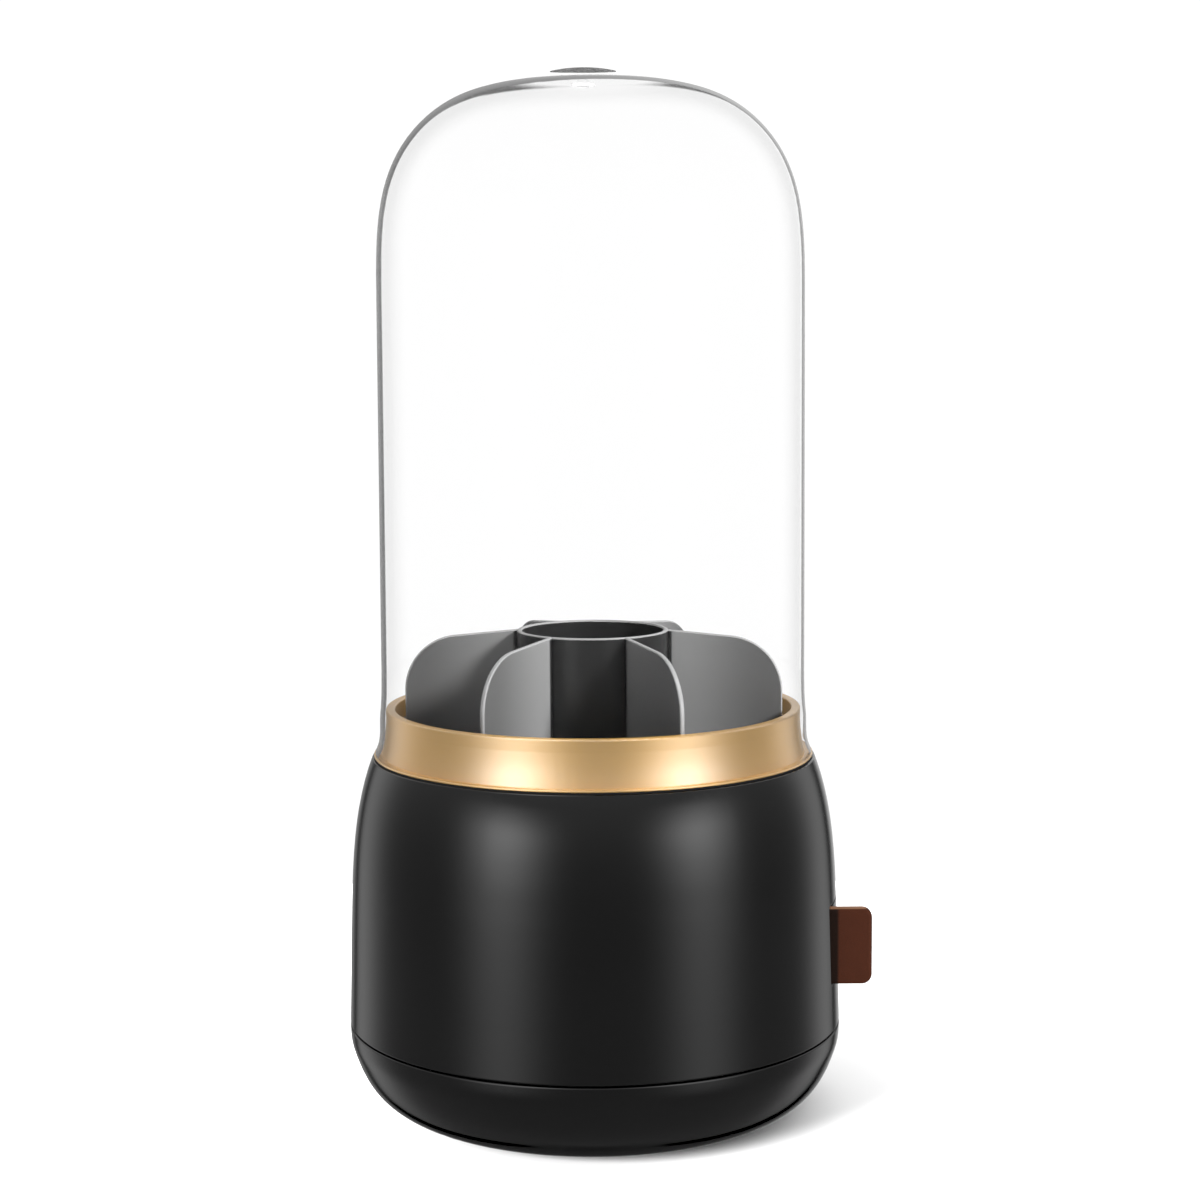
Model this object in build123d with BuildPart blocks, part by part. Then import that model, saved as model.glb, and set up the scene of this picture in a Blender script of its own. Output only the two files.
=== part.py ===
"""Countertop cutlery organizer: a clear dome over a six-bay divider that stands in a round
black body with a gold collar, above a pull-out drip drawer with a brown tab.

Millimetres, +Z up. The origin is on the tabletop, on the axis of the body. The front of the
organizer faces -Y and the drip drawer comes out towards +X.
"""
import math
import os

from build123d import *

os.makedirs("parts", exist_ok=True)

# Base bowl
BOWL_BOTTOM = 0.7
BOWL_WALL = 2.6
BOWL_FLAT = 40.0
SEAM_EDGE = 0.5
BOWL_CURVE = [(BOWL_FLAT, BOWL_BOTTOM), (47.8, 1.0), (59.8, 3.3), (66.7, 7.7), (71.2, 13.8),
              (74.1, 21.0), (75.0, 28.25)]
SPIGOT_RADIUS = 72.2
SPIGOT_WALL = 2.0
SPIGOT_BASE = 22.0
SPIGOT_TOP = 33.0

# Outer shell
SHELL_WALL = 2.4
LEDGE_HEIGHT = 109.9
LEDGE_WALL = 2.6
SHELL_CURVE = [(75.0, 28.75), (74.75, 37.1), (73.92, 67.0), (72.7, 85.6), (70.0, 100.9),
               (67.1, LEDGE_HEIGHT)]
SHELL_EDGE = 0.5
NECK_RADIUS = 61.4
NECK_WALL = 1.2
NECK_TOP = 118.2

# Screw joints between the shell and the bowl
POST_CIRCLE = 60.0
POST_COUNT = 4
POST_ANGLE = 45.0
POST_RADIUS = 4.5
POST_TOP = 30.0
BOSS_RADIUS = 4.0
BOSS_TOP = 62.0
BOSS_RIB = 2.0
BOSS_RIB_BASE = 34.0
BOSS_RIB_END = 73.0
BASE_SCREW_RADIUS = 1.5
BASE_SCREW_HEAD = 2.9
BASE_SCREW_HEAD_HEIGHT = 2.2
BASE_SCREW_SEAT = 24.0
BASE_SCREW_TOP = 42.0

# Foot pad
PAD_RADIUS = 41.0
PAD_HEIGHT = 1.9
PAD_ROUND = 0.4
PAD_GROOVES = (22.0, 32.0)
PAD_GROOVE_WIDTH = 2.0
PAD_GROOVE_DEPTH = 0.5

# Clearances
SLIDE_GAP = 0.3
HOLE_GAP = 0.1

# Gasket and collar
GASKET_HEIGHT = 0.5
GASKET_INNER = 61.8
GASKET_OUTER = 66.5
SEAT_HEIGHT = LEDGE_HEIGHT + GASKET_HEIGHT
FLANGE_RADIUS = 66.6
FLANGE_THICK = 0.6
FLANGE_EDGE = 0.25
FLANGE_TOP = SEAT_HEIGHT + FLANGE_THICK
COLLAR_FOOT = 64.2
COLLAR_FLARE = (63.2, 116.0)
COLLAR_SIDE = 62.8
COLLAR_SIDE_LOW = 121.0
COLLAR_BORE = 60.0
COLLAR_REBATE = 61.6
COLLAR_TOP = 124.8
COLLAR_RIM = 0.5

# Inner liner
LINER_INNER = 58.6
LINER_WALL = 1.2
LINER_FLANGE = 1.0
LINER_LEDGE = 54.0
LINER_LEDGE_HEIGHT = 70.5
LINER_FLOOR = 1.4
SUMP_HEIGHT = 67.7
SPOUT_RADIUS = 5.0
SPOUT_BOTTOM = 65.4

# Divider and drain floor
BAY_COUNT = 6
BAY_ANGLE = -3.7
DRAIN_RADIUS = 57.6
DRAIN_THICK = 1.8
DIVIDER_BASE = LINER_LEDGE_HEIGHT + DRAIN_THICK
TUBE_RADIUS = 22.9
TUBE_WALL = 1.5
TUBE_TOP = 148.0
PARTITION = 1.5
PARTITION_REACH = 57.4
PARTITION_SHOULDER = 144.6
PARTITION_ROUND = 17.0
SOFT_EDGE = 0.5
DRAIN_HOLE = 1.8
DRAIN_ROWS = ((48.0, 24, 7.5), (36.0, 18, 10.0), (13.0, 8, 0.0))
HUB_SCREW_CIRCLE = 26.0
HUB_SCREW_COUNT = 3
HUB_BOSS_RADIUS = 2.8
HUB_BOSS_HEIGHT = 10.0
HUB_SCREW_RADIUS = 1.2
HUB_SCREW_HEAD = 2.4
HUB_SCREW_LENGTH = 8.0

# Drip drawer
DRAWER_CENTRE = 55.05
OPENING_WIDTH = 47.4
OPENING_HEIGHT = 23.9
OPENING_ROUND = 1.5
OPENING_EDGE = 0.4
BODY_SIDE = 69.5
FRONT_WIDTH = OPENING_WIDTH - 2 * SLIDE_GAP
FRONT_HEIGHT = OPENING_HEIGHT - 2 * SLIDE_GAP
FRONT_ROUND = OPENING_ROUND - SLIDE_GAP
FRONT_BACK = 65.0
TAB_THICK = 2.6
TAB_REACH = 82.9
TAB_CORNER = 3.0
TAB_FOOT = 16.0
TAB_FOOT_HEIGHT = 18.0
TRAY_BACK = -46.0
TRAY_WIDTH = 41.8
TRAY_WALL = 1.8
TRAY_BOTTOM = 45.2
TRAY_TOP = 64.6
TRAY_CORNER = 3.0
FRONT_SCREW_SPREAD = 28.0
FRONT_SCREW_HEIGHT = 59.5
FRONT_SCREW_RADIUS = 1.4
FRONT_SCREW_HEAD = 2.5
FRONT_SCREW_HEAD_HEIGHT = 1.6
FRONT_SCREW_END = 70.5

# Drawer channel
CHANNEL_FLOOR = 43.0
CHANNEL_THICK = 2.0
CHANNEL_END = 62.0
CHANNEL_TOP = 66.0
CHANNEL_BACK = TRAY_BACK - SLIDE_GAP - CHANNEL_THICK
CHANNEL_INNER = TRAY_WIDTH + 2 * SLIDE_GAP
COLUMN_RADIUS = 4.0
COLUMN_SPACING = (84.0, 28.0)
COLUMN_CENTRE = 6.0
CHANNEL_SCREW_RADIUS = 1.5
CHANNEL_SCREW_HEAD = 2.9
CHANNEL_SCREW_LENGTH = 12.0

# Dome and knob
DOME_WALL = 1.3
DOME_SOFT = 0.4
DOME_FLARE = [(66.4, FLANGE_TOP), (65.3, 113.6), (64.65, 121.0), (64.0, 136.0)]
DOME_CROWN = [(63.8, 250.0), (63.0, 269.8), (61.85, 277.2), (56.7, 290.8), (48.4, 300.8),
              (36.3, 307.9), (18.4, 311.6), (0.0, 312.0)]
KNOB_SHIFT = -1.9
KNOB_LENGTH = 20.2
KNOB_WIDTH = 6.0
KNOB_TIP = 0.4
KNOB_HEIGHT = 1.2
KNOB_EDGE = 0.25
KNOB_PAD_LENGTH = 13.0
KNOB_PAD_WIDTH = 4.4
KNOB_PAD_HEIGHT = 1.7
STUD_RADIUS = 1.8
STUD_LENGTH = 3.0
CLIP_RADIUS = 3.6
CLIP_HEIGHT = 0.9


def inset(curve, wall):
    """The points of an upward profile, moved in from its outer side by the wall."""
    moved = []
    for before, here, after in zip(curve[:1] + curve, curve, curve[1:] + curve[-1:]):
        run = after[0] - before[0]
        rise = after[1] - before[1]
        length = math.hypot(run, rise)
        moved.append((here[0] - wall * rise / length, here[1] + wall * run / length))
    return moved


def countersunk(head, shank, length):
    """A countersunk screw with its head face at the origin, pointing up."""
    with BuildPart() as screw:
        with BuildSketch(Plane.XZ):
            Polygon((0, 0), (head, 0), (shank, head - shank), (shank, length), (0, length),
                    align=None)
        revolve(axis=Axis.Z)
    return screw.part


# Base bowl: the closed lower shell, with posts for the shell and columns for the channel
with BuildPart() as bowl_hollow:
    with BuildSketch(Plane.XZ):
        with BuildLine():
            inner = Spline(inset(BOWL_CURVE, BOWL_WALL))
            Polyline(inner @ 1, (0, (inner @ 1).Y), (0, (inner @ 0).Y), inner @ 0)
        make_face()
    revolve(axis=Axis.Z)
    with BuildSketch():
        with PolarLocations(POST_CIRCLE, POST_COUNT, start_angle=POST_ANGLE):
            Circle(POST_RADIUS)
        with Locations((COLUMN_CENTRE, 0)):
            with GridLocations(*COLUMN_SPACING, 2, 2):
                Circle(COLUMN_RADIUS)
    extrude(amount=BOSS_TOP, mode=Mode.SUBTRACT)

with BuildPart() as base_bowl:
    with BuildSketch(Plane.XZ) as bowl_profile:
        with BuildLine():
            outer = Spline(BOWL_CURVE, tangents=((1, 0), (0, 1)))
            Polyline(outer @ 1, (0, (outer @ 1).Y), (0, BOWL_BOTTOM), outer @ 0)
        make_face()
        fillet(bowl_profile.vertices().sort_by(Axis.X)[-1], radius=SEAM_EDGE)
    revolve(axis=Axis.Z)
    add(bowl_hollow.part, mode=Mode.SUBTRACT)
    with BuildSketch(Plane.XY.offset(SPIGOT_BASE)):
        Circle(SPIGOT_RADIUS)
        Circle(SPIGOT_RADIUS - SPIGOT_WALL, mode=Mode.SUBTRACT)
    extrude(amount=SPIGOT_TOP - SPIGOT_BASE)
    with BuildSketch(Plane.XY.offset(SPIGOT_BASE)):
        with PolarLocations(POST_CIRCLE, POST_COUNT, start_angle=POST_ANGLE):
            Circle(POST_RADIUS)
    extrude(amount=POST_TOP - SPIGOT_BASE)
    with BuildSketch(Plane.XY.offset(SPIGOT_BASE)):
        with Locations((COLUMN_CENTRE, 0)):
            with GridLocations(*COLUMN_SPACING, 2, 2):
                Circle(COLUMN_RADIUS)
    extrude(amount=CHANNEL_FLOOR - SPIGOT_BASE)
    with BuildSketch(Plane.XY.offset(CHANNEL_FLOOR)):
        with Locations((COLUMN_CENTRE, 0)):
            with GridLocations(*COLUMN_SPACING, 2, 2):
                Circle(CHANNEL_SCREW_RADIUS + HOLE_GAP)
    extrude(amount=-CHANNEL_SCREW_LENGTH, mode=Mode.SUBTRACT)
    with BuildSketch():
        with PolarLocations(POST_CIRCLE, POST_COUNT, start_angle=POST_ANGLE):
            Circle(BASE_SCREW_HEAD + SLIDE_GAP)
    extrude(amount=BASE_SCREW_SEAT, mode=Mode.SUBTRACT)
    with BuildSketch(Plane.XY.offset(BASE_SCREW_SEAT)):
        with PolarLocations(POST_CIRCLE, POST_COUNT, start_angle=POST_ANGLE):
            Circle(BASE_SCREW_RADIUS + SLIDE_GAP)
    extrude(amount=POST_TOP - BASE_SCREW_SEAT, mode=Mode.SUBTRACT)
    with BuildSketch():
        Circle(PAD_RADIUS + SLIDE_GAP)
    extrude(amount=PAD_HEIGHT, mode=Mode.SUBTRACT)
base_bowl.part.label = "base_bowl"
export_step(base_bowl.part, "parts/base_bowl.step")

# Foot pad: the round rubber pad under the bowl, with two grooves in its face
with BuildPart() as foot_pad:
    with BuildSketch():
        Circle(PAD_RADIUS)
    extrude(amount=PAD_HEIGHT)
    fillet(foot_pad.edges().sort_by(Axis.Z)[0], radius=PAD_ROUND)
    for groove in PAD_GROOVES:
        with BuildSketch():
            Circle(groove + PAD_GROOVE_WIDTH)
            Circle(groove, mode=Mode.SUBTRACT)
        extrude(amount=PAD_GROOVE_DEPTH, mode=Mode.SUBTRACT)
foot_pad.part.label = "foot_pad"
export_step(foot_pad.part, "parts/foot_pad.step")

# Base screws: four pan-head screws from below, up into the bosses of the shell
with BuildPart() as base_screws:
    with BuildSketch(Plane.XY.offset(BASE_SCREW_SEAT - BASE_SCREW_HEAD_HEIGHT)):
        with PolarLocations(POST_CIRCLE, POST_COUNT, start_angle=POST_ANGLE):
            Circle(BASE_SCREW_HEAD)
    extrude(amount=BASE_SCREW_HEAD_HEIGHT)
    with BuildSketch(Plane.XY.offset(BASE_SCREW_SEAT)):
        with PolarLocations(POST_CIRCLE, POST_COUNT, start_angle=POST_ANGLE):
            Circle(BASE_SCREW_RADIUS)
    extrude(amount=BASE_SCREW_TOP - BASE_SCREW_SEAT)
base_screws.part.label = "base_screws"
export_step(base_screws.part, "parts/base_screws.step")

# Outer shell: the round black body, with its neck and four screw bosses
with BuildPart() as body_blank:
    with BuildSketch(Plane.XZ):
        with BuildLine():
            outer = Spline(SHELL_CURVE)
            Polyline(outer @ 1, (0, LEDGE_HEIGHT), (0, (outer @ 0).Y), outer @ 0)
        make_face()
    revolve(axis=Axis.Z)

with BuildPart() as body_shell:
    with BuildSketch(Plane.XZ) as shell_profile:
        with BuildLine():
            outer = Spline(SHELL_CURVE)
            inner = Spline(inset(SHELL_CURVE[:-1], SHELL_WALL))
            Line(outer @ 0, inner @ 0)
            Polyline(inner @ 1, (SHELL_CURVE[-1][0] - SHELL_WALL, LEDGE_HEIGHT - LEDGE_WALL),
                     (NECK_RADIUS - NECK_WALL, LEDGE_HEIGHT - LEDGE_WALL),
                     (NECK_RADIUS - NECK_WALL, NECK_TOP), (NECK_RADIUS, NECK_TOP),
                     (NECK_RADIUS, LEDGE_HEIGHT), outer @ 1)
        make_face()
        fillet(shell_profile.vertices().group_by(Axis.Y)[-2].sort_by(Axis.X)[-1],
               radius=SHELL_EDGE)
        fillet(shell_profile.vertices().sort_by(Axis.X)[-1], radius=SEAM_EDGE)
    revolve(axis=Axis.Z)
    with PolarLocations(0, POST_COUNT, start_angle=POST_ANGLE):
        with Locations(((POST_CIRCLE + BOSS_RIB_END) / 2, 0, (BOSS_RIB_BASE + BOSS_TOP) / 2)):
            Box(BOSS_RIB_END - POST_CIRCLE, BOSS_RIB, BOSS_TOP - BOSS_RIB_BASE)
        with Locations((POST_CIRCLE, 0, (POST_TOP + BOSS_TOP) / 2)):
            Cylinder(BOSS_RADIUS, BOSS_TOP - POST_TOP)
    with BuildSketch(Plane.XY.offset(POST_TOP)):
        with PolarLocations(POST_CIRCLE, POST_COUNT, start_angle=POST_ANGLE):
            Circle(BASE_SCREW_RADIUS + HOLE_GAP)
    extrude(amount=BASE_SCREW_TOP - POST_TOP, mode=Mode.SUBTRACT)
    with BuildSketch(Plane.YZ.offset(FRONT_BACK - OPENING_HEIGHT)):
        with Locations((0, DRAWER_CENTRE)):
            RectangleRounded(OPENING_WIDTH, OPENING_HEIGHT, OPENING_ROUND)
    extrude(amount=2 * OPENING_HEIGHT, mode=Mode.SUBTRACT)
    opening_edges = body_shell.edges().filter_by(
        lambda edge: edge.center().X > BODY_SIDE and abs(edge.center().Y) <= OPENING_WIDTH / 2
        and abs(edge.center().Z - DRAWER_CENTRE) <= OPENING_HEIGHT / 2 + HOLE_GAP)
    fillet(opening_edges, radius=OPENING_EDGE)
body_shell.part.label = "body_shell"
export_step(body_shell.part, "parts/body_shell.step")

# Seat gasket: the flat black ring between the ledge of the body and the collar
with BuildPart() as seat_gasket:
    with BuildSketch(Plane.XY.offset(LEDGE_HEIGHT)):
        Circle(GASKET_OUTER)
        Circle(GASKET_INNER, mode=Mode.SUBTRACT)
    extrude(amount=GASKET_HEIGHT)
seat_gasket.part.label = "seat_gasket"
export_step(seat_gasket.part, "parts/seat_gasket.step")

# Inner liner: a thin bucket that hangs in the neck and drains through its middle
with BuildPart() as inner_liner:
    with BuildSketch(Plane.XZ):
        Polygon((NECK_RADIUS, NECK_TOP),
                (NECK_RADIUS, NECK_TOP + LINER_FLANGE),
                (LINER_INNER, NECK_TOP + LINER_FLANGE),
                (LINER_INNER, LINER_LEDGE_HEIGHT),
                (LINER_LEDGE, LINER_LEDGE_HEIGHT),
                (SPOUT_RADIUS, SUMP_HEIGHT),
                (SPOUT_RADIUS, SPOUT_BOTTOM),
                (SPOUT_RADIUS + LINER_WALL, SPOUT_BOTTOM),
                (SPOUT_RADIUS + LINER_WALL, SUMP_HEIGHT - LINER_FLOOR),
                (LINER_LEDGE, LINER_LEDGE_HEIGHT - LINER_FLOOR),
                (LINER_INNER + LINER_WALL, LINER_LEDGE_HEIGHT - LINER_FLOOR),
                (LINER_INNER + LINER_WALL, NECK_TOP),
                align=None)
    revolve(axis=Axis.Z)
inner_liner.part.label = "inner_liner"
export_step(inner_liner.part, "parts/inner_liner.step")

# Collar ring: the gold ring over the neck, with the flange that the dome stands on
with BuildPart() as collar_ring:
    with BuildSketch(Plane.XZ) as collar_profile:
        with BuildLine():
            Polyline((COLLAR_REBATE, SEAT_HEIGHT), (FLANGE_RADIUS, SEAT_HEIGHT),
                     (FLANGE_RADIUS, FLANGE_TOP), (COLLAR_FOOT, FLANGE_TOP))
            ThreePointArc((COLLAR_FOOT, FLANGE_TOP), COLLAR_FLARE,
                          (COLLAR_SIDE, COLLAR_SIDE_LOW))
            Polyline((COLLAR_SIDE, COLLAR_SIDE_LOW), (COLLAR_SIDE, COLLAR_TOP),
                     (COLLAR_BORE, COLLAR_TOP), (COLLAR_BORE, NECK_TOP + LINER_FLANGE),
                     (COLLAR_REBATE, NECK_TOP + LINER_FLANGE),
                     (COLLAR_REBATE, SEAT_HEIGHT))
        make_face()
        fillet(collar_profile.vertices().group_by(Axis.X)[-1], radius=FLANGE_EDGE)
        fillet(collar_profile.vertices().group_by(Axis.Y)[-1], radius=COLLAR_RIM)
    revolve(axis=Axis.Z)
collar_ring.part.label = "collar_ring"
export_step(collar_ring.part, "parts/collar_ring.step")

# Drain floor: the perforated disc under the divider
with BuildPart() as drain_floor:
    with BuildSketch(Plane.XY.offset(LINER_LEDGE_HEIGHT)):
        Circle(DRAIN_RADIUS)
        Circle(DRAIN_HOLE, mode=Mode.SUBTRACT)
        for row_radius, row_count, row_turn in DRAIN_ROWS:
            with PolarLocations(row_radius, row_count, start_angle=BAY_ANGLE + row_turn):
                Circle(DRAIN_HOLE, mode=Mode.SUBTRACT)
    extrude(amount=DRAIN_THICK)
    with PolarLocations(HUB_SCREW_CIRCLE, HUB_SCREW_COUNT, start_angle=BAY_ANGLE):
        with Locations((0, 0, LINER_LEDGE_HEIGHT)):
            add(countersunk(HUB_SCREW_HEAD + HOLE_GAP, HUB_SCREW_RADIUS + HOLE_GAP,
                            HUB_SCREW_LENGTH), mode=Mode.SUBTRACT)
drain_floor.part.label = "drain_floor"
export_step(drain_floor.part, "parts/drain_floor.step")

# Divider: a centre tube and six arched partitions, moulded as one
with BuildPart() as partition:
    with BuildSketch(Plane.XZ) as partition_profile:
        Polygon((TUBE_RADIUS - TUBE_WALL / 2, DIVIDER_BASE),
                (PARTITION_REACH, DIVIDER_BASE),
                (PARTITION_REACH, PARTITION_SHOULDER),
                (TUBE_RADIUS - TUBE_WALL / 2, TUBE_TOP),
                align=None)
        fillet(partition_profile.vertices().group_by(Axis.X)[-1].sort_by(Axis.Y)[-1],
               radius=PARTITION_ROUND)
    extrude(amount=PARTITION / 2, both=True)
    for side in (partition.faces().sort_by(Axis.Y)[0], partition.faces().sort_by(Axis.Y)[-1]):
        fillet(side.edges().filter_by(lambda edge: edge.center().Z > DIVIDER_BASE
                                      and edge.center().X > TUBE_RADIUS), radius=SOFT_EDGE)

with BuildPart() as divider:
    with PolarLocations(0, BAY_COUNT, start_angle=BAY_ANGLE):
        add(partition.part)
    with BuildSketch(Plane.XY.offset(DIVIDER_BASE)):
        with PolarLocations(HUB_SCREW_CIRCLE, HUB_SCREW_COUNT, start_angle=BAY_ANGLE):
            Circle(HUB_BOSS_RADIUS)
    extrude(amount=HUB_BOSS_HEIGHT)
    with BuildSketch(Plane.XY.offset(DIVIDER_BASE)):
        Circle(TUBE_RADIUS - TUBE_WALL)
    extrude(amount=TUBE_TOP - DIVIDER_BASE, mode=Mode.SUBTRACT)
    with BuildSketch(Plane.XZ) as tube_profile:
        with Locations((TUBE_RADIUS - TUBE_WALL / 2, (DIVIDER_BASE + TUBE_TOP) / 2)):
            Rectangle(TUBE_WALL, TUBE_TOP - DIVIDER_BASE)
        fillet(tube_profile.vertices().group_by(Axis.Y)[-1], radius=SOFT_EDGE)
    revolve(axis=Axis.Z)
    with BuildSketch(Plane.XY.offset(DIVIDER_BASE)):
        with PolarLocations(HUB_SCREW_CIRCLE, HUB_SCREW_COUNT, start_angle=BAY_ANGLE):
            Circle(HUB_SCREW_RADIUS + HOLE_GAP)
    extrude(amount=HUB_SCREW_LENGTH, mode=Mode.SUBTRACT)
divider.part.label = "divider"
export_step(divider.part, "parts/divider.step")

# Hub screws: three countersunk screws from below that hold the drain floor to the divider
with BuildPart() as hub_screws:
    with PolarLocations(HUB_SCREW_CIRCLE, HUB_SCREW_COUNT, start_angle=BAY_ANGLE):
        with Locations((0, 0, LINER_LEDGE_HEIGHT)):
            add(countersunk(HUB_SCREW_HEAD, HUB_SCREW_RADIUS, HUB_SCREW_LENGTH))
hub_screws.part.label = "hub_screws"
export_step(hub_screws.part, "parts/hub_screws.step")

# Drawer channel: the open-fronted guide for the drip tray, under the drain spout
with BuildPart() as drawer_channel:
    channel_length = CHANNEL_END - CHANNEL_BACK
    channel_middle = (CHANNEL_END + CHANNEL_BACK) / 2
    with BuildSketch(Plane.XY.offset(CHANNEL_FLOOR)):
        with Locations((channel_middle, 0)):
            Rectangle(channel_length, CHANNEL_INNER + 2 * CHANNEL_THICK)
    extrude(amount=CHANNEL_TOP - CHANNEL_FLOOR)
    with BuildSketch(Plane.XY.offset(CHANNEL_FLOOR + CHANNEL_THICK)):
        with Locations((channel_middle + CHANNEL_THICK, 0)):
            Rectangle(channel_length, CHANNEL_INNER)
    extrude(amount=CHANNEL_TOP - CHANNEL_FLOOR, mode=Mode.SUBTRACT)
    with Locations((COLUMN_CENTRE, 0, CHANNEL_FLOOR + CHANNEL_THICK)):
        with GridLocations(*COLUMN_SPACING, 2, 2):
            with Locations(Rotation(180, 0, 0)):
                add(countersunk(CHANNEL_SCREW_HEAD + HOLE_GAP, CHANNEL_SCREW_RADIUS + HOLE_GAP,
                                CHANNEL_SCREW_LENGTH), mode=Mode.SUBTRACT)
drawer_channel.part.label = "drawer_channel"
export_step(drawer_channel.part, "parts/drawer_channel.step")

# Channel screws: four countersunk screws down into the columns of the bowl
with BuildPart() as channel_screws:
    with Locations((COLUMN_CENTRE, 0, CHANNEL_FLOOR + CHANNEL_THICK)):
        with GridLocations(*COLUMN_SPACING, 2, 2):
            with Locations(Rotation(180, 0, 0)):
                add(countersunk(CHANNEL_SCREW_HEAD, CHANNEL_SCREW_RADIUS,
                                CHANNEL_SCREW_LENGTH))
channel_screws.part.label = "channel_screws"
export_step(channel_screws.part, "parts/channel_screws.step")

# Drip tray: the open box that catches the water under the spout
with BuildPart() as drip_tray:
    tray_length = FRONT_BACK - TRAY_BACK
    tray_middle = (FRONT_BACK + TRAY_BACK) / 2
    with BuildSketch(Plane.XY.offset(TRAY_BOTTOM)):
        with Locations((tray_middle, 0)):
            RectangleRounded(tray_length, TRAY_WIDTH, TRAY_CORNER)
    extrude(amount=TRAY_TOP - TRAY_BOTTOM)
    with BuildSketch(Plane.XY.offset(TRAY_BOTTOM + TRAY_WALL)):
        with Locations((tray_middle, 0)):
            RectangleRounded(tray_length - 2 * TRAY_WALL, TRAY_WIDTH - 2 * TRAY_WALL,
                             TRAY_CORNER - TRAY_WALL)
    extrude(amount=TRAY_TOP - TRAY_BOTTOM, mode=Mode.SUBTRACT)
    with BuildSketch(Plane.YZ.offset(FRONT_BACK)):
        with Locations((0, FRONT_SCREW_HEIGHT)):
            with GridLocations(FRONT_SCREW_SPREAD, 0, 2, 1):
                Circle(FRONT_SCREW_RADIUS + HOLE_GAP)
    extrude(amount=-TRAY_WALL, mode=Mode.SUBTRACT)
drip_tray.part.label = "drip_tray"
export_step(drip_tray.part, "parts/drip_tray.step")

# Drawer front: the black plate that fills the opening and follows the curve of the body
with BuildPart() as drawer_front:
    with BuildSketch(Plane.YZ.offset(FRONT_BACK)):
        with Locations((0, DRAWER_CENTRE)):
            RectangleRounded(FRONT_WIDTH, FRONT_HEIGHT, FRONT_ROUND)
    extrude(amount=OPENING_HEIGHT)
    add(body_blank.part, mode=Mode.INTERSECT)
    with Locations((FRONT_BACK, -FRONT_WIDTH / 2, DRAWER_CENTRE)):
        Box(2 * OPENING_HEIGHT, 2 * TAB_THICK, 2 * OPENING_HEIGHT, mode=Mode.SUBTRACT)
        Box(2 * TAB_THICK, 2 * (TAB_FOOT + SLIDE_GAP), TAB_FOOT_HEIGHT + 2 * SLIDE_GAP,
            mode=Mode.SUBTRACT)
    with BuildSketch(Plane.YZ.offset(FRONT_BACK)):
        with Locations((0, FRONT_SCREW_HEIGHT)):
            with GridLocations(FRONT_SCREW_SPREAD, 0, 2, 1):
                Circle(FRONT_SCREW_RADIUS + HOLE_GAP)
    extrude(amount=FRONT_SCREW_END - FRONT_BACK, mode=Mode.SUBTRACT)
drawer_front.part.label = "drawer_front"
export_step(drawer_front.part, "parts/drawer_front.step")

# Pull tab: the brown strap end that stands out at the near edge of the drawer front
with BuildPart() as pull_tab:
    with BuildSketch(Plane.XZ.offset(FRONT_WIDTH / 2)) as tab_side:
        with Locations(((FRONT_BACK + TAB_REACH) / 2, DRAWER_CENTRE)):
            Rectangle(TAB_REACH - FRONT_BACK, FRONT_HEIGHT)
        fillet(tab_side.vertices().group_by(Axis.X)[-1], radius=TAB_CORNER)
    extrude(amount=-TAB_THICK)
    fillet(pull_tab.faces().sort_by(Axis.Y)[0].edges(), radius=FRONT_ROUND)
    with Locations((FRONT_BACK + TAB_THICK / 2, -FRONT_WIDTH / 2 + (TAB_THICK + TAB_FOOT) / 2,
                    DRAWER_CENTRE)):
        Box(TAB_THICK, TAB_FOOT - TAB_THICK, TAB_FOOT_HEIGHT)
    with BuildSketch(Plane.YZ.offset(FRONT_BACK)):
        with Locations((-FRONT_SCREW_SPREAD / 2, FRONT_SCREW_HEIGHT)):
            Circle(FRONT_SCREW_RADIUS + HOLE_GAP)
    extrude(amount=TAB_THICK, mode=Mode.SUBTRACT)
pull_tab.part.label = "pull_tab"
export_step(pull_tab.part, "parts/pull_tab.step")

# Front screws: two screws from inside the tray that clamp the tab and the front
with BuildPart() as front_screws:
    with BuildSketch(Plane.YZ.offset(FRONT_BACK - TRAY_WALL)):
        with Locations((0, FRONT_SCREW_HEIGHT)):
            with GridLocations(FRONT_SCREW_SPREAD, 0, 2, 1):
                Circle(FRONT_SCREW_HEAD)
    extrude(amount=-FRONT_SCREW_HEAD_HEIGHT)
    with BuildSketch(Plane.YZ.offset(FRONT_BACK - TRAY_WALL)):
        with Locations((0, FRONT_SCREW_HEIGHT)):
            with GridLocations(FRONT_SCREW_SPREAD, 0, 2, 1):
                Circle(FRONT_SCREW_RADIUS)
    extrude(amount=FRONT_SCREW_END - FRONT_BACK + TRAY_WALL)
front_screws.part.label = "front_screws"
export_step(front_screws.part, "parts/front_screws.step")

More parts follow.
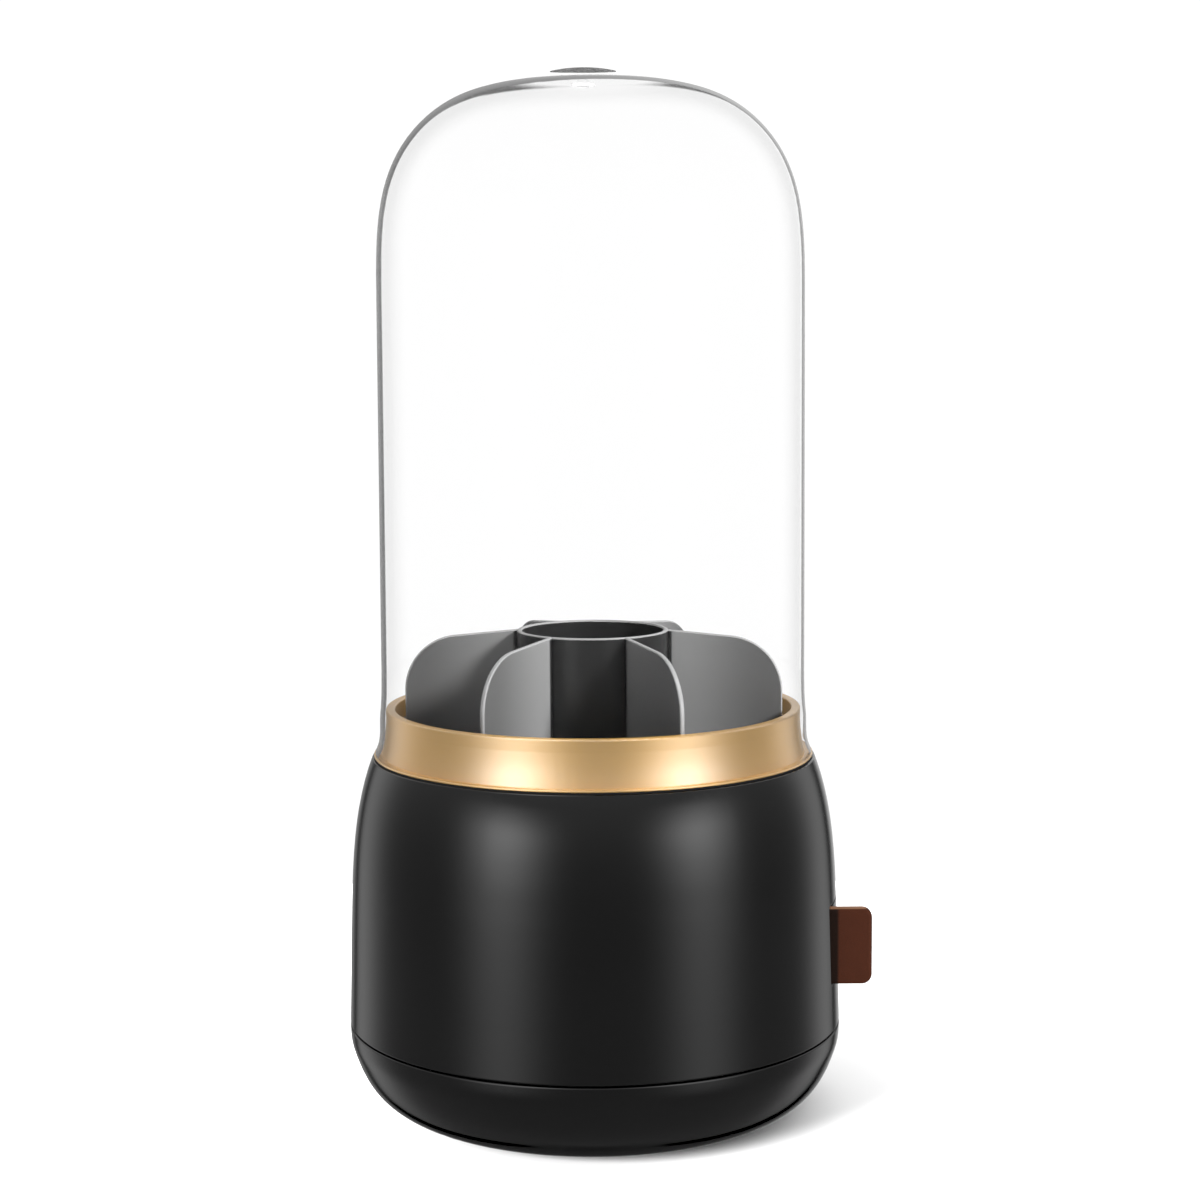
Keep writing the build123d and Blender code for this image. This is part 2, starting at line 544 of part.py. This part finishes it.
# Dome cover: the clear lift-off lid, flared at its foot and rounded at the crown
with BuildPart() as dome_cover:
    with BuildSketch(Plane.XZ) as dome_profile:
        with BuildLine():
            crown_height = DOME_CROWN[-1][1]
            wall_run = (DOME_CROWN[0][0] - DOME_FLARE[-1][0], DOME_CROWN[0][1] - DOME_FLARE[-1][1])
            outer_flare = Spline(DOME_FLARE, tangents=((-0.5, 1), wall_run))
            outer_wall = Line(DOME_FLARE[-1], DOME_CROWN[0])
            outer_crown = Spline(DOME_CROWN, tangents=(wall_run, (-1, 0)))
            flare_points = inset(DOME_FLARE, DOME_WALL)
            flare_points[0] = (flare_points[0][0], FLANGE_TOP)
            crown_points = inset(DOME_CROWN, DOME_WALL)
            crown_points[0] = (DOME_CROWN[0][0] - DOME_WALL, DOME_CROWN[0][1])
            crown_points[-1] = (0, crown_height - DOME_WALL)
            inner_flare = Spline(flare_points)
            inner_wall = Line(inner_flare @ 1, crown_points[0])
            inner_crown = Spline(crown_points, tangents=(wall_run, (-1, 0)))
            Line(inner_flare @ 0, outer_flare @ 0)
            Line(inner_crown @ 1, outer_crown @ 1)
        make_face()
        fillet(dome_profile.vertices().group_by(Axis.Y)[0], radius=DOME_SOFT)
    revolve(axis=Axis.Z)
    with BuildSketch(Plane.XY.offset(crown_height)):
        with Locations((KNOB_SHIFT, 0)):
            Circle(STUD_RADIUS + HOLE_GAP)
    extrude(amount=2 * DOME_WALL, both=True, mode=Mode.SUBTRACT)
dome_cover.part.label = "dome_cover"
export_step(dome_cover.part, "parts/dome_cover.step")

# Knob pad: the clear foot of the knob, with a stud down through the crown
with BuildPart() as knob_pad:
    with BuildSketch(Plane.XY.offset(crown_height + HOLE_GAP)):
        with Locations((KNOB_SHIFT, 0)):
            SlotOverall(KNOB_PAD_LENGTH, KNOB_PAD_WIDTH)
    extrude(amount=KNOB_PAD_HEIGHT)
    with BuildSketch(Plane.XY.offset(crown_height + HOLE_GAP)):
        with Locations((KNOB_SHIFT, 0)):
            Circle(STUD_RADIUS)
    extrude(amount=-STUD_LENGTH)
knob_pad.part.label = "knob_pad"
export_step(knob_pad.part, "parts/knob_pad.step")

# Lid knob: a low leaf-shaped grip with a domed top, bonded on its clear foot
with BuildPart() as lid_knob:
    cap_base = crown_height + KNOB_PAD_HEIGHT + 2 * HOLE_GAP
    side_radius = (KNOB_LENGTH ** 2 + KNOB_WIDTH ** 2) / (4 * KNOB_WIDTH)
    side_centre = side_radius - KNOB_WIDTH / 2
    cap_rise = KNOB_HEIGHT - KNOB_EDGE
    cap_radius = ((KNOB_LENGTH / 2) ** 2 + cap_rise ** 2) / (2 * cap_rise)
    with BuildSketch(Plane.XY.offset(cap_base)) as leaf:
        with Locations((KNOB_SHIFT, side_centre)):
            Circle(side_radius)
        with Locations((KNOB_SHIFT, -side_centre)):
            Circle(side_radius, mode=Mode.INTERSECT)
        fillet(leaf.vertices(), radius=KNOB_TIP)
    extrude(amount=KNOB_HEIGHT)
    with Locations((KNOB_SHIFT, 0, cap_base + KNOB_HEIGHT - cap_radius)):
        Sphere(cap_radius, mode=Mode.INTERSECT)
lid_knob.part.label = "lid_knob"
export_step(lid_knob.part, "parts/lid_knob.step")

# Knob clip: the push-on washer that holds the stud from inside the dome
with BuildPart() as knob_clip:
    with BuildSketch(Plane.XY.offset(crown_height - DOME_WALL - HOLE_GAP)):
        with Locations((KNOB_SHIFT, 0)):
            Circle(CLIP_RADIUS)
            Circle(STUD_RADIUS + HOLE_GAP, mode=Mode.SUBTRACT)
    extrude(amount=-CLIP_HEIGHT)
knob_clip.part.label = "knob_clip"
export_step(knob_clip.part, "parts/knob_clip.step")
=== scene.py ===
import math

import bpy
from mathutils import Matrix, Vector


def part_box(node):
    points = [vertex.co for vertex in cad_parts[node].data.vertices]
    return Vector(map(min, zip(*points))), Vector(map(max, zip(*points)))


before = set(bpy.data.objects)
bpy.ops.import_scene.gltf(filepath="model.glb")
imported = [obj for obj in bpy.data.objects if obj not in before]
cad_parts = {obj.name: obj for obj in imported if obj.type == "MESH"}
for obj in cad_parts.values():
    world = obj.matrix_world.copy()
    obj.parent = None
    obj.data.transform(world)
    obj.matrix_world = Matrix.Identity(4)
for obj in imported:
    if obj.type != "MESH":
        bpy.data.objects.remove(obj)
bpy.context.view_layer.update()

# The lower bowl and the outer shell of the body, with the front plate of the drawer in it.
# They are moulded in black plastic and sprayed with a satin lacquer, which has a faint orange
# peel, and the shell is screwed down on the bowl, so only a fine seam shows between them.


class Wire:
    """An output of a node. A sum, difference, product or power of wires adds its Math node."""

    def __init__(self, sheet, socket):
        self.sheet = sheet
        self.socket = socket

    def maths(self, operation, first, second):
        return self.sheet.add("Math", {"operation": operation}, {0: first, 1: second})

    def __add__(self, other):
        return self.maths("ADD", self, other)

    def __sub__(self, other):
        return self.maths("SUBTRACT", self, other)

    def __rsub__(self, other):
        return self.maths("SUBTRACT", other, self)

    def __mul__(self, other):
        return self.maths("MULTIPLY", self, other)

    def __truediv__(self, other):
        return self.maths("DIVIDE", self, other)

    def __pow__(self, other):
        return self.maths("POWER", self, other)

    __radd__ = __add__
    __rmul__ = __mul__


class Sheet:
    """The node sheet of a finish or of the studio's light."""

    def __init__(self, owner):
        owner.use_nodes = True
        self.nodes = owner.node_tree.nodes
        self.links = owner.node_tree.links
        self.nodes.clear()

    def add(self, kind, settings, sockets, output=0):
        """Any node: its settings come first, then the values or wires of its sockets."""
        node = self.nodes.new("ShaderNode" + kind)
        for name, value in settings.items():
            setattr(node, name, value)
        for name, value in sockets.items():
            if isinstance(value, Wire):
                self.links.new(value.socket, node.inputs[name])
            else:
                node.inputs[name].default_value = value
        return Wire(self, node.outputs[output]) if node.outputs else None

    def place(self):
        """Where a point lies on its piece, in metres."""
        return self.add("TexCoord", {}, {}, "Object")

    def axes(self, names, vector):
        """The parts of a vector along the axes of these names."""
        return [self.add("SeparateXYZ", {}, {"Vector": vector}, name) for name in names]

    def noise(self, scale, detail, vector):
        return self.add("TexNoise", {}, {"Vector": vector, "Scale": scale, "Detail": detail}, "Fac")

    def step(self, value, low, high, first=0.0, last=1.0):
        """A soft step: first at low, last at high."""
        return self.add("MapRange", {"interpolation_type": "SMOOTHSTEP"},
                        {"Value": value, "From Min": low, "From Max": high,
                         "To Min": first, "To Max": last})

    def blend(self, share, first, last):
        """A colour between two others, which a Mix node has at sockets 6 and 7."""
        return self.add("Mix", {"data_type": "RGBA"}, {0: share, 6: first, 7: last}, 2)

    def bump(self, height, depth):
        """The normal over a height map from 0 to 1 that is depth metres deep."""
        return self.add("Bump", {}, {"Height": height, "Distance": depth, "Strength": 1.0})

    def finish(self, shader):
        self.add("OutputMaterial", {}, {"Surface": shader})


def new_finish(name):
    material = bpy.data.materials.new(name)
    return material, Sheet(material)


def dress(material, *names):
    """Gives a finish to the pieces of these names."""
    for name in names:
        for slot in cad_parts[name].material_slots:
            slot.material = material


def grey(level):
    return (level, level, level, 1.0)


def black_lacquer():
    material, sheet = new_finish("black_lacquer")
    cloud = sheet.noise(35.0, 3.0, sheet.place())
    peel = sheet.noise(520.0, 1.0, sheet.place())
    sheet.finish(sheet.add("BsdfPrincipled", {}, {
        "Base Color": sheet.blend(cloud, grey(0.0012), grey(0.0024)),
        "Roughness": 0.1 + 0.04 * cloud,
        "IOR": 1.46,
        "Normal": sheet.bump(peel, 0.000003),
    }))
    return material


dress(black_lacquer(), "base_bowl", "body_shell", "drawer_front")

# The foot pad under the bowl and the flat gasket between the body and the collar. Both are cut
# from black rubber with a fine matt grain, and the gasket shows as a black line.


def black_rubber():
    material, sheet = new_finish("black_rubber")
    grain = sheet.noise(2600.0, 4.0, sheet.place())
    sheet.finish(sheet.add("BsdfPrincipled", {}, {
        "Base Color": sheet.blend(grain, grey(0.003), grey(0.009)),
        "Roughness": 0.62 + 0.2 * grain,
        "Specular IOR Level": 0.25,
        "Normal": sheet.bump(grain, 0.00006),
    }))
    return material


dress(black_rubber(), "foot_pad", "seat_gasket")

# The screws that hold the bowl, the drawer channel, the drawer front and the drain floor.
# They are cold-headed steel with a zinc plating, which shows a faint cloudy crystal pattern.

ZINC_DARK = (0.42, 0.43, 0.45, 1.0)
ZINC_PALE = (0.66, 0.66, 0.68, 1.0)


def zinc_steel():
    material, sheet = new_finish("zinc_steel")
    crystals = sheet.add("TexVoronoi", {}, {"Vector": sheet.place(), "Scale": 1500.0}, "Distance")
    sheet.finish(sheet.add("BsdfPrincipled", {}, {
        "Base Color": sheet.blend(crystals, ZINC_DARK, ZINC_PALE),
        "Metallic": 1.0,
        "Roughness": 0.24 + 0.2 * crystals,
        "Normal": sheet.bump(crystals, 0.00001),
    }))
    return material


dress(zinc_steel(), "base_screws", "channel_screws", "front_screws", "hub_screws")

# The liner in the neck, the drawer channel and the drip tray. They are plain mouldings in
# black plastic, with the fine spark-eroded texture of their moulds left on them.


def eroded_plastic(name, dark, light, least_roughness):
    material, sheet = new_finish(name)
    pits = sheet.noise(1900.0, 5.0, sheet.place())
    flow = sheet.noise(22.0, 2.0, sheet.place())
    sheet.finish(sheet.add("BsdfPrincipled", {}, {
        "Base Color": sheet.blend(flow, grey(dark), grey(light)),
        "Roughness": least_roughness + 0.18 * pits,
        "Normal": sheet.bump(pits, 0.00005),
    }))
    return material


dress(eroded_plastic("liner_plastic", 0.012, 0.020, 0.36), "inner_liner", "drawer_channel")
dress(eroded_plastic("tray_plastic", 0.016, 0.026, 0.28), "drip_tray")

# The collar over the neck. It is turned from brass with a flat rim and a thin flange for the
# dome, and plated in a satin champagne gold, with very fine turning lines round the ring.

GOLD_DEEP = (0.88, 0.50, 0.085, 1.0)
GOLD_PALE = (0.91, 0.52, 0.10, 1.0)
LINES_PER_METRE = 9000.0
LINE_BREAKS_PER_METRE = 25.0


def champagne_gold():
    material, sheet = new_finish("champagne_gold")
    x, y, z = sheet.axes("XYZ", sheet.place())
    radius = (x * x + y * y) ** 0.5
    turned = sheet.add("CombineXYZ", {}, {"X": radius * LINES_PER_METRE,
                                          "Y": x * LINE_BREAKS_PER_METRE,
                                          "Z": z * LINES_PER_METRE})
    lines = sheet.noise(1.0, 3.0, turned)
    cloud = sheet.noise(28.0, 2.0, sheet.place())
    sheet.finish(sheet.add("BsdfPrincipled", {}, {
        "Base Color": sheet.blend(cloud, GOLD_DEEP, GOLD_PALE),
        "Metallic": 0.9,
        "Roughness": 0.5 + 0.04 * lines,
        "Anisotropic": 0.9,
        "Anisotropic Rotation": 0.25,
        "Coat Weight": 1.0,
        "Coat IOR": 3.1,
        "Coat Roughness": 0.26,
        "Normal": sheet.bump(lines, 0.0000015),
    }))
    return material


dress(champagne_gold(), "collar_ring")

# The insert that lifts out: the divider with its centre tube and six arched partitions, and
# the drain floor screwed under it. Both are moulded in a dark grey plastic with a gloss. The
# colour is painted near black inside the skin of the tube and darker outwards along a partition,
# as painted shade, and the rounded edges of the divider are painted paler, as a painted highlight.

# Distances from the axis in metres: the skin of the tube, inside which painted shade makes the
# colour near black, and the stretch over which painted shade darkens a partition outwards
TUBE_SKIN = 0.0236
TUBE_OUTSIDE = 0.0244
PARTITION_SHADE_FROM = 0.026
PARTITION_SHADE_FULL = 0.058
# A face belongs to a rounded edge where its normal leans up, down or outwards by more than this
EDGE_LEAN = 0.2


def grey_moulding():
    material, sheet = new_finish("grey_moulding")
    x, y = sheet.axes("XY", sheet.place())
    radius = (x * x + y * y) ** 0.5
    flow = sheet.noise(26.0, 3.0, sheet.place())
    waves = sheet.noise(150.0, 1.0, sheet.place())
    # Painted shade: near black inside the skin of the tube, and darker outwards along a partition
    outward = sheet.step(radius + 0.006 * flow, PARTITION_SHADE_FROM, PARTITION_SHADE_FULL)
    shaded_partition = sheet.blend(outward, grey(0.082), grey(0.036))
    past_tube_shade = sheet.step(radius, TUBE_SKIN, TUBE_OUTSIDE)
    sheet.finish(sheet.add("BsdfPrincipled", {}, {
        "Base Color": sheet.blend(past_tube_shade, grey(0.006), shaded_partition),
        "Roughness": 0.24 + 0.1 * flow,
        "Specular IOR Level": 0.35,
        "Normal": sheet.bump(waves, 0.00002),
    }))
    return material


def painted_edge_highlight():
    material, sheet = new_finish("painted_edge_highlight")
    rub = sheet.noise(700.0, 3.0, sheet.place())
    sheet.finish(sheet.add("BsdfPrincipled", {}, {
        # Paler than the partitions: a painted highlight on the rounded edges; the coat reflects
        # real light
        "Base Color": sheet.blend(rub, grey(0.09), grey(0.12)),
        "Roughness": 0.2 + 0.08 * rub,
        "Coat Weight": 0.6,
        "Coat Roughness": 0.2,
        "Normal": sheet.bump(rub, 0.00001),
    }))
    return material


def paint_edge_highlights(name, finish):
    """Gives the edges of the tube and of the partitions the paler finish of a painted highlight."""
    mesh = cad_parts[name].data
    mesh.materials.append(finish)
    for face in mesh.polygons:
        middle, normal = face.center, face.normal
        radius = math.hypot(middle.x, middle.y)
        outward = abs(normal.x * middle.x + normal.y * middle.y) > EDGE_LEAN * radius
        if abs(normal.z) > EDGE_LEAN or (outward and radius > TUBE_OUTSIDE):
            face.material_index = len(mesh.materials) - 1


dress(grey_moulding(), "drain_floor", "divider")
paint_edge_highlights("divider", painted_edge_highlight())

# The tab that pulls the drip drawer out: a stiff strap end in smooth brown leather. Its end at
# the body is darker, a painted shade, its upper edge is tan, a painted highlight, and its foot is
# clamped to the tray.

LEATHER_DEEP = (0.040, 0.0090, 0.0025, 1.0)
LEATHER_PALE = (0.051, 0.0118, 0.0033, 1.0)
ROOT_SHADE_COLOUR = (0.010, 0.0033, 0.0012, 1.0)
TOP_HIGHLIGHT_COLOUR = (0.22, 0.11, 0.06, 1.0)
# Heights between which the painted highlight turns the upper edge tan, and distances from the axis
# between which the painted shade at the end goes over into the face
TAB_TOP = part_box("pull_tab")[1][2]
TOP_HIGHLIGHT_FROM = TAB_TOP - 0.0005
TOP_HIGHLIGHT_TO = TAB_TOP - 0.0001
ROOT_SHADE_TO = 0.0722
ROOT_SHADE_END = 0.0732


def brown_leather():
    material, sheet = new_finish("brown_leather")
    place = sheet.place()
    cells = sheet.add("TexVoronoi", {"feature": "DISTANCE_TO_EDGE"},
                      {"Vector": place, "Scale": 1300.0}, "Distance")
    creases = sheet.step(cells, 0.0, 0.12)
    tone = sheet.noise(160.0, 4.0, place)
    x, z = sheet.axes("XZ", place)
    face = sheet.blend(tone, LEATHER_DEEP, LEATHER_PALE)
    # Painted shade: the end by the body is darker
    colour = sheet.blend(sheet.step(x, ROOT_SHADE_TO, ROOT_SHADE_END), ROOT_SHADE_COLOUR, face)
    # Painted highlight: the upper edge turns tan
    colour = sheet.blend(sheet.step(z, TOP_HIGHLIGHT_FROM, TOP_HIGHLIGHT_TO), colour, TOP_HIGHLIGHT_COLOUR)
    sheet.finish(sheet.add("BsdfPrincipled", {}, {
        "Base Color": colour,
        "Specular IOR Level": 0.1,
        "Roughness": 0.6 - 0.1 * creases,
        "Normal": sheet.bump(creases, 0.00002),
    }))
    return material


dress(brown_leather(), "pull_tab")
# The lacquer beside the tab shows no reflection of it
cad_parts["pull_tab"].visible_glossy = False

# The dome: a clear lid, blown in one piece with a flared foot and a flat rounded crown. The
# wall is clear where one looks through it, and painted shade turns it grey where one looks along
# it.

DOME_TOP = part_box("dome_cover")[1][2]
CROWN_FROM = DOME_TOP - 0.040
CROWN_TO = DOME_TOP - 0.012
# The middle of the crown stays clear inside the first of these distances from the axis
CLEAR_MIDDLE = 0.018
GREY_OUTSIDE = 0.027
# How far the wall is turned away where painted shade turns it grey, from 0, facing, to 1, edge
# on, and how much further it has to be turned on the +X side, where the painted shade is narrower
TURNING = 0.5
TURNED_FROM = 0.77
TURNED_TO = 0.80
SIDE_REACH = 0.03
SIDE_TURN = 0.05
# The share of grey on the clear wall, how much of the edge's painted shade goes again at the very
# outline, and how dark the painted shade of the crown is beside that of the wall
CLEAR_SHARE = 0.015
OUTLINE_LOSS = 0.12
CROWN_SHADE_DARKNESS = 0.3
# A face whose normal has a z below this is under the foot or inside the crown
FACES_DOWN = -0.5


def clear_plastic(name, edge, crown, tail, tint):
    """A clear wall that painted shade makes grey by the share edge, or crown on the crown, where it
    is turned away, and by the share tail where it starts to turn."""
    material, sheet = new_finish(name)
    facing = sheet.add("LayerWeight", {}, {"Blend": 0.5}, "Facing")
    x, y, z = sheet.axes("XYZ", sheet.place())
    off_middle = sheet.step((x * x + y * y) ** 0.5, CLEAR_MIDDLE, GREY_OUTSIDE)
    turned = facing - sheet.step(x, -SIDE_REACH, SIDE_REACH, 0.0, SIDE_TURN)
    high = sheet.step(z, CROWN_FROM, CROWN_TO)
    ripple = sheet.noise(40.0, 2.0, sheet.place())
    gloss = sheet.add("BsdfPrincipled", {}, {
        "Base Color": sheet.blend(high, sheet.blend(ripple, grey(tint), grey(tint * 1.1)),
                                  grey(tint * CROWN_SHADE_DARKNESS)),
        "Roughness": 0.04 + 0.03 * ripple,
        "Normal": sheet.bump(ripple, 0.00003),
    })
    clear = sheet.add("BsdfTransparent", {}, {"Color": grey(1.0)})
    # Painted shade: grey where the wall is turned away, with a darker grey on the crown
    deep = edge + (crown - edge) * high
    edge_shade = deep * sheet.step(turned, TURNED_FROM, TURNED_TO)
    outline = sheet.step(turned, TURNED_TO, 1.0, 0.0, OUTLINE_LOSS * edge)
    faint_shade = sheet.step(turned, TURNING, TURNED_FROM, 0.0, tail)
    share = CLEAR_SHARE + off_middle * (edge_shade - outline + faint_shade)
    sheet.finish(sheet.add("MixShader", {}, {0: share, 1: clear, 2: gloss}))
    return material


def two_sided(name, outside, inside):
    """Gives the faces that look at the axis one finish and the others another."""
    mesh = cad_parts[name].data
    mesh.materials.clear()
    mesh.materials.append(outside)
    mesh.materials.append(inside)
    for face in mesh.polygons:
        middle, normal = face.center, face.normal
        inward = normal.x * middle.x + normal.y * middle.y < 0.0
        under = normal.z < FACES_DOWN
        face.material_index = int(inward or under)


two_sided("dome_cover", clear_plastic("clear_wall", 0.78, 0.95, 0.06, 0.12),
          clear_plastic("clear_wall_inside", 0.0, 0.0, 0.05, 0.05))

# The knob on the crown: a low leaf-shaped grip in dark grey plastic, bonded on a clear foot.
# The foot has a stud through the wall, and a milky nylon washer holds it from inside.


def clear_rubber():
    material, sheet = new_finish("clear_rubber")
    haze = sheet.noise(300.0, 2.0, sheet.place())
    soft = sheet.add("BsdfPrincipled", {}, {
        "Base Color": sheet.blend(haze, grey(0.80), grey(0.9)),
        "Roughness": 0.3 + 0.1 * haze,
        "Normal": sheet.bump(haze, 0.00002),
    })
    clear = sheet.add("BsdfTransparent", {}, {"Color": grey(1.0)})
    sheet.finish(sheet.add("MixShader", {}, {0: 0.04 + 0.04 * haze, 1: clear, 2: soft}))
    return material


def grey_button():
    material, sheet = new_finish("grey_button")
    grain = sheet.noise(1500.0, 3.0, sheet.place())
    sheet.finish(sheet.add("BsdfPrincipled", {}, {
        "Base Color": sheet.blend(grain, grey(0.085), grey(0.11)),
        "Roughness": 0.4 + 0.1 * grain,
        "Normal": sheet.bump(grain, 0.00002),
    }))
    return material


def milky_nylon():
    material, sheet = new_finish("milky_nylon")
    haze = sheet.noise(300.0, 2.0, sheet.place())
    sheet.finish(sheet.add("BsdfPrincipled", {}, {
        "Base Color": sheet.blend(haze, grey(0.60), grey(0.64)),
        "Roughness": 0.4 + 0.1 * haze,
        "Normal": sheet.bump(haze, 0.00002),
    }))
    return material


dress(clear_rubber(), "knob_pad")
dress(milky_nylon(), "knob_clip")
dress(grey_button(), "lid_knob")

# The studio: a white floor in a white surround, a lamp from the left that leaves a faint
# shadow at the right, and a lamp from the right front for the insert. Shiny pieces see soft
# boxes in front, a pale card at each side with a dark gap behind it, and the backdrop.

# In metres. The floor ends a little behind the organizer, where the backdrop takes over.
FLOOR_SIZE = 1.6
FLOOR_SHIFT = -0.5


def white_floor():
    material, sheet = new_finish("white_floor")
    speck = sheet.noise(6.0, 2.0, sheet.place())
    sheet.finish(sheet.add("BsdfDiffuse", {}, {
        "Color": sheet.blend(speck, grey(0.75), grey(0.77)),
    }))
    return material


bpy.ops.mesh.primitive_plane_add(size=FLOOR_SIZE, location=(0.0, FLOOR_SHIFT, 0.0))
floor = bpy.context.object
floor.name = "floor"
floor.data.materials.append(white_floor())
floor.visible_glossy = False

# Each panel: bearing from the front towards +X, half width, the elevations between which it
# comes up and those between which it fades, all in degrees, and how bright it is. The ones
# with less than no light are the dark gaps.
PANELS = (
    (-43.0, 14.5, -6.0, 14.0, 11.0, 26.0, 1.9),
    (-43.0, 14.5, -32.0, 2.0, 11.0, 26.0, 1.9),
    (-40.0, 18.0, 30.0, 38.0, 60.0, 75.0, 3.2),
    (51.0, 14.5, -6.0, 14.0, 11.0, 27.0, 2.2),
    (51.0, 14.5, -34.0, 0.0, 11.0, 27.0, 1.55),
    (50.0, 18.0, 30.0, 38.0, 60.0, 75.0, 3.2),
    (-133.0, 15.0, -60.0, -25.0, 50.0, 70.0, 0.45),
    (131.0, 13.0, -60.0, -25.0, 50.0, 70.0, 0.5),
    (-168.0, 8.0, -30.0, -12.0, 20.0, 50.0, 0.1),
    (168.0, 9.0, -30.0, -12.0, 20.0, 50.0, 0.5),
    (-152.0, 4.5, -70.0, -60.0, 50.0, 60.0, -0.3),
    (151.0, 4.5, -70.0, -60.0, 50.0, 60.0, -0.3),
    (180.0, 40.0, -90.0, -75.0, -40.0, -20.0, -0.17),
)
# The light between the panels rises with the direction's height, from -1, down, to 1, up
LOW_LEVEL = -0.15
HIGH_LEVEL = 0.7
LOW_LIGHT = 0.22
HIGH_LIGHT = 0.65
# Keeps the level part of a direction from being nought straight up and down
NEVER_NOUGHT = 0.0001
# What matt surfaces receive from all round, and what the camera sees behind the organizer
FILL = 1.8
BACKDROP = 1.05


def surround():
    world = bpy.data.worlds.new("studio")
    bpy.context.scene.world = world
    world.cycles.sampling_method = "NONE"
    sheet = Sheet(world)
    x, y, z = sheet.axes("XYZ", sheet.add("TexCoord", {}, {}, "Generated"))
    level = (x * x + y * y + NEVER_NOUGHT) ** 0.5
    glow = sheet.step(z, LOW_LEVEL, HIGH_LEVEL, LOW_LIGHT, HIGH_LIGHT)
    for bearing, half, rise_from, rise_to, fall_from, fall_to, light in PANELS:
        turn = math.radians(bearing)
        along = (x * math.sin(turn) - y * math.cos(turn)) / level
        # With this power, half of the light is left at the half width
        sharpness = math.log(0.5) / math.log(math.cos(math.radians(half)))
        wide = along.maths("MAXIMUM", along, 0.0) ** sharpness
        rise = sheet.step(z, math.sin(math.radians(rise_from)), math.sin(math.radians(rise_to)))
        fall = sheet.step(z, math.sin(math.radians(fall_from)),
                          math.sin(math.radians(fall_to)), 1.0, 0.0)
        glow = glow + light * wide * rise * fall
    direct = sheet.add("LightPath", {}, {}, "Is Camera Ray")
    mirrored = sheet.add("LightPath", {}, {}, "Is Glossy Ray")
    seen = sheet.blend(direct, sheet.blend(mirrored, grey(FILL), glow), grey(BACKDROP))
    light = sheet.add("Background", {}, {"Color": seen, "Strength": 1.0})
    sheet.add("OutputWorld", {}, {"Surface": light})


surround()

# Each lamp: where it shines from, its strength, how wide it is in degrees and what it lights.
# No lamp shows as a spot in a shiny piece.
LAMPS = (
    ("floor_lamp", (-1.0, -0.25, 0.8), 4.0, 30.0, [floor]),
    ("low_lamp", (-0.65, -0.72, 0.3), 11.5, 22.0, [floor]),
    ("key_lamp", (0.8, -0.6, 0.5), 14.5, 12.0,
     [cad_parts["divider"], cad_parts["drain_floor"]]),
)
for name, shines_from, strength, width, lit in LAMPS:
    lamp_data = bpy.data.lights.new(name, "SUN")
    lamp_data.energy = strength
    lamp_data.angle = math.radians(width)
    lamp = bpy.data.objects.new(name, lamp_data)
    lamp.rotation_euler = Vector(shines_from).to_track_quat("Z", "Y").to_euler()
    lamp.visible_glossy = False
    receivers = bpy.data.collections.new(name)
    for piece in lit:
        receivers.objects.link(piece)
    lamp.light_linking.receiver_collection = receivers
    bpy.context.scene.collection.objects.link(lamp)

# The camera stands a little above the middle of the organizer and looks slightly down at it.
# The lens is in millimetres, the places are in metres and the turns in radians.

LENS = 75.69
CAMERA_BACK = 0.7586
CAMERA_HEIGHT = 0.2455
LOOK_DOWN = 0.1164
LOOK_RIGHT = 0.0030
TILT = -0.0055

camera_data = bpy.data.cameras.new("camera")
camera_data.lens = LENS
camera = bpy.data.objects.new("camera", camera_data)
camera.matrix_world = (Matrix.Translation((0.0, -CAMERA_BACK, CAMERA_HEIGHT))
                       @ Matrix.Rotation(-LOOK_RIGHT, 4, "Z")
                       @ Matrix.Rotation(math.pi / 2 - LOOK_DOWN, 4, "X")
                       @ Matrix.Rotation(TILT, 4, "Z"))
bpy.context.scene.collection.objects.link(camera)
bpy.context.scene.camera = camera
bpy.context.scene.view_settings.view_transform = "Standard"
